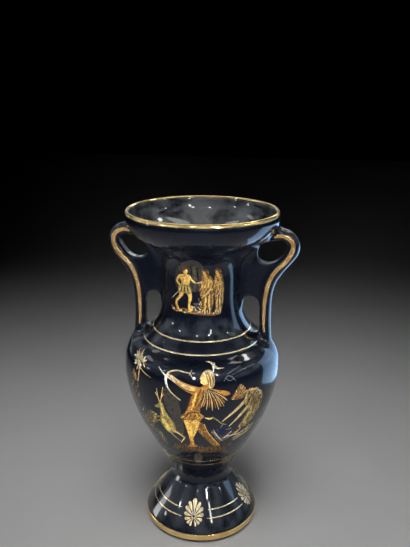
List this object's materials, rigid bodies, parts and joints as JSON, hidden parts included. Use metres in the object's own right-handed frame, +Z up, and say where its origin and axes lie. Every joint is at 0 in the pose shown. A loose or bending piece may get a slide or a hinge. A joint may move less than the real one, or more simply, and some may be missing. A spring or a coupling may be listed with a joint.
{
  "type": "amphora-style vase",
  "caption": "Tall hollow ceramic vase with a flared lip, straight neck, looped handles down to the shoulder, tapering body and coned foot, in glossy black glaze with gold lines and figures.",
  "frame": {"origin": "centre of the standing ring, on the surface that the vase stands on", "axes": "+Z up along the axis of the pot; the handles lie along +X and -X; the painted front faces -Y"},
  "size_m": [0.1408, 0.117, 0.25],
  "materials": {
    "black_glaze": "glossy black glaze with a slight blue cast",
    "gold_lustre": "thin fired gold lustre on the glaze, glossy",
    "painted_figures": "painted enamel in warm gold and brown under a thin gloss",
    "bare_clay": "unglazed pale clay on the standing ring"
  },
  "bodies": {
    "root": {"vase": "black_glaze"}
  },
  "joints": []
}
